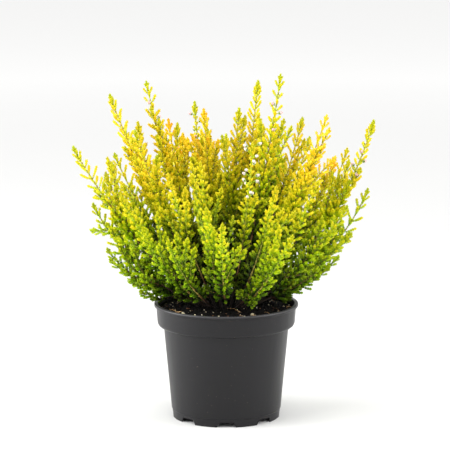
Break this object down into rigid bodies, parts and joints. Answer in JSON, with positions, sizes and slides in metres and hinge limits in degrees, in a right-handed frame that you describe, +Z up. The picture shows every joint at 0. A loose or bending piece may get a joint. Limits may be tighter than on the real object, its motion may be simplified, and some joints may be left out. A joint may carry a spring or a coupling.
{
  "type": "potted heather",
  "caption": "Golden-leaved heather: a bush of upright leafy stems with a few white buds, rooted in peat in a round, dark grey plastic nursery pot.",
  "frame": {"origin": "on the ground under the middle of the pot", "axes": "+Z up, -Y towards the side that is seen, +X to the right of it"},
  "size_m": [0.2502, 0.2171, 0.288],
  "materials": {
    "pot_plastic": "satin dark grey injection-moulded plastic",
    "peat": null,
    "foliage_gold": null,
    "foliage_lime": "lime green scale leaves on woody stems",
    "foliage_green": "green scale leaves on woody stems"
  },
  "bodies": {
    "root": {"peat": "peat", "pot": "pot_plastic", "stem_back_1": "foliage_gold", "stem_back_10": "foliage_green", "stem_back_11": "foliage_green", "stem_back_12": "foliage_green", "stem_back_13": "foliage_green", "stem_back_14": "foliage_green", "stem_back_2": "foliage_gold", "stem_back_3": "foliage_gold", "stem_back_4": "foliage_gold", "stem_back_5": "foliage_gold", "stem_back_6": "foliage_gold", "stem_back_7": "foliage_gold", "stem_back_8": "foliage_gold", "stem_back_9": "foliage_green", "stem_front_1": "foliage_lime", "stem_front_10": "foliage_gold", "stem_front_11": "foliage_gold", "stem_front_12": "foliage_lime", "stem_front_2": "foliage_lime", "stem_front_3": "foliage_gold", "stem_front_4": "foliage_lime", "stem_front_5": "foliage_lime", "stem_front_6": "foliage_gold", "stem_front_7": "foliage_gold", "stem_front_8": "foliage_lime", "stem_front_9": "foliage_lime", "stem_left_1": "foliage_gold", "stem_left_2": "foliage_gold", "stem_left_3": "foliage_gold", "stem_left_4": "foliage_gold", "stem_left_5": "foliage_gold", "stem_left_6": "foliage_lime", "stem_left_7": "foliage_lime", "stem_left_8": "foliage_green", "stem_left_9": "foliage_green", "stem_middle_1": "foliage_gold", "stem_middle_10": "foliage_gold", "stem_middle_2": "foliage_gold", "stem_middle_3": "foliage_gold", "stem_middle_4": "foliage_gold", "stem_middle_5": "foliage_gold", "stem_middle_6": "foliage_gold", "stem_middle_7": "foliage_gold", "stem_middle_8": "foliage_gold", "stem_middle_9": "foliage_gold", "stem_right_1": "foliage_gold", "stem_right_10": "foliage_green", "stem_right_11": "foliage_green", "stem_right_2": "foliage_gold", "stem_right_3": "foliage_gold", "stem_right_4": "foliage_gold", "stem_right_5": "foliage_gold", "stem_right_6": "foliage_gold", "stem_right_7": "foliage_lime", "stem_right_8": "foliage_lime", "stem_right_9": "foliage_lime"}
  },
  "joints": []
}
